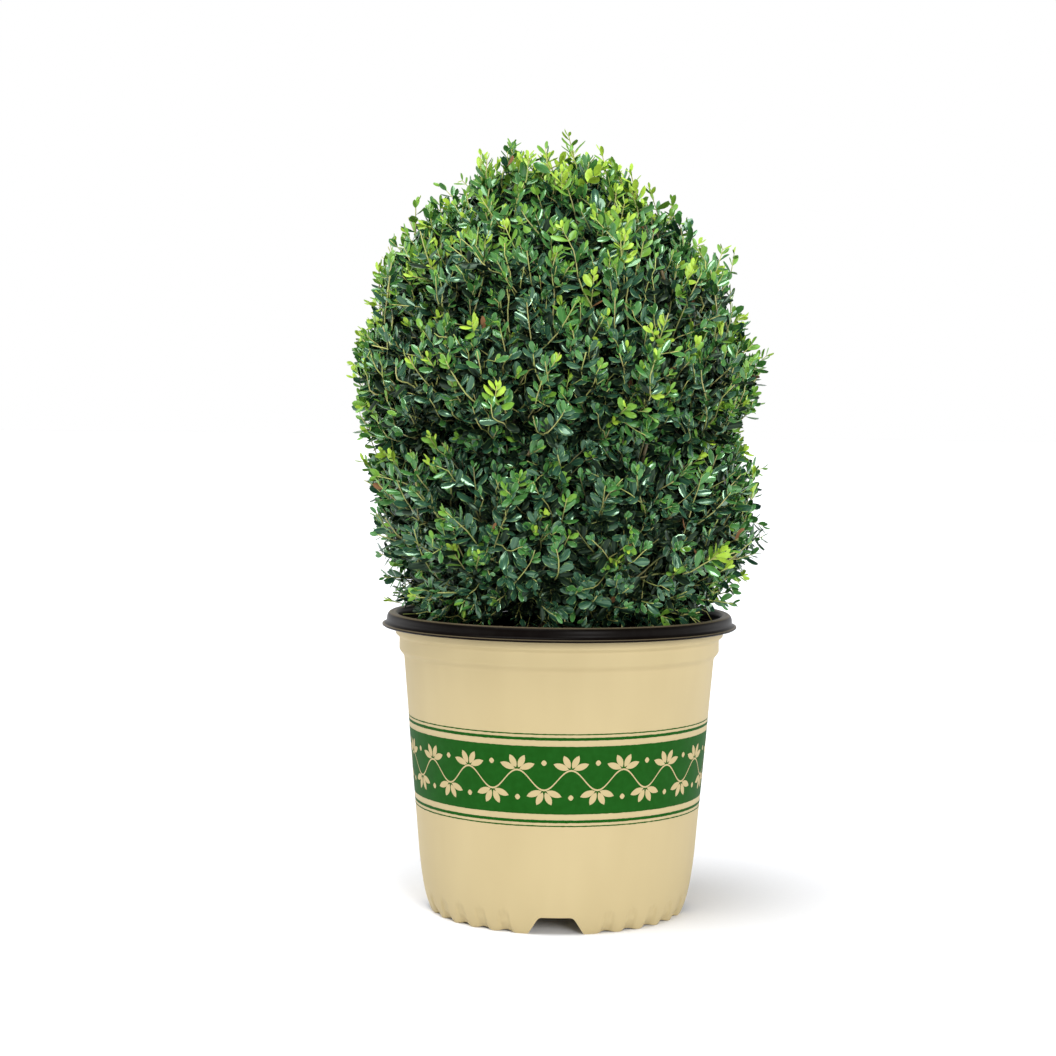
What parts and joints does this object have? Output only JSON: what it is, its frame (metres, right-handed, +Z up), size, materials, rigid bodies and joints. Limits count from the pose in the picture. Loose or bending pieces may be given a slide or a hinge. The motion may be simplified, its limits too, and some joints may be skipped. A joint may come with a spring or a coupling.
{
  "type": "potted boxwood topiary",
  "caption": "Clipped evergreen shrub, rounded like a blunt cone, in a tapered round nursery pot with a rolled rim and a notched, fluted foot.",
  "frame": {"origin": "on the ground, under the middle of the pot", "axes": "+Z up, -Y towards the side of the pot with the drain notch that faces the viewer"},
  "size_m": [0.3249, 0.3263, 0.6014],
  "materials": {
    "pot_cream": "satin moulded plastic",
    "pot_black": "satin moulded plastic",
    "potting_mix": "loose moist bark and peat",
    "bark": "fine ridged bark",
    "foliage": "glossy leaves"
  },
  "bodies": {
    "root": {"pot_wall": "pot_cream", "pot_lining": "pot_black", "pot_rim": "pot_black", "root_ball": "potting_mix", "trunk": "bark", "bough_lower_1": "bark", "bough_lower_2": "bark", "bough_lower_3": "bark", "bough_lower_4": "bark", "bough_lower_5": "bark", "bough_upper_1": "bark", "bough_upper_2": "bark", "bough_upper_3": "bark", "bough_upper_4": "bark", "bough_upper_5": "bark", "bough_top": "bark", "foliage_lower_1": "foliage", "foliage_lower_2": "foliage", "foliage_lower_3": "foliage", "foliage_lower_4": "foliage", "foliage_lower_5": "foliage", "foliage_upper_1": "foliage", "foliage_upper_2": "foliage", "foliage_upper_3": "foliage", "foliage_upper_4": "foliage", "foliage_upper_5": "foliage", "foliage_top": "foliage"}
  },
  "joints": []
}
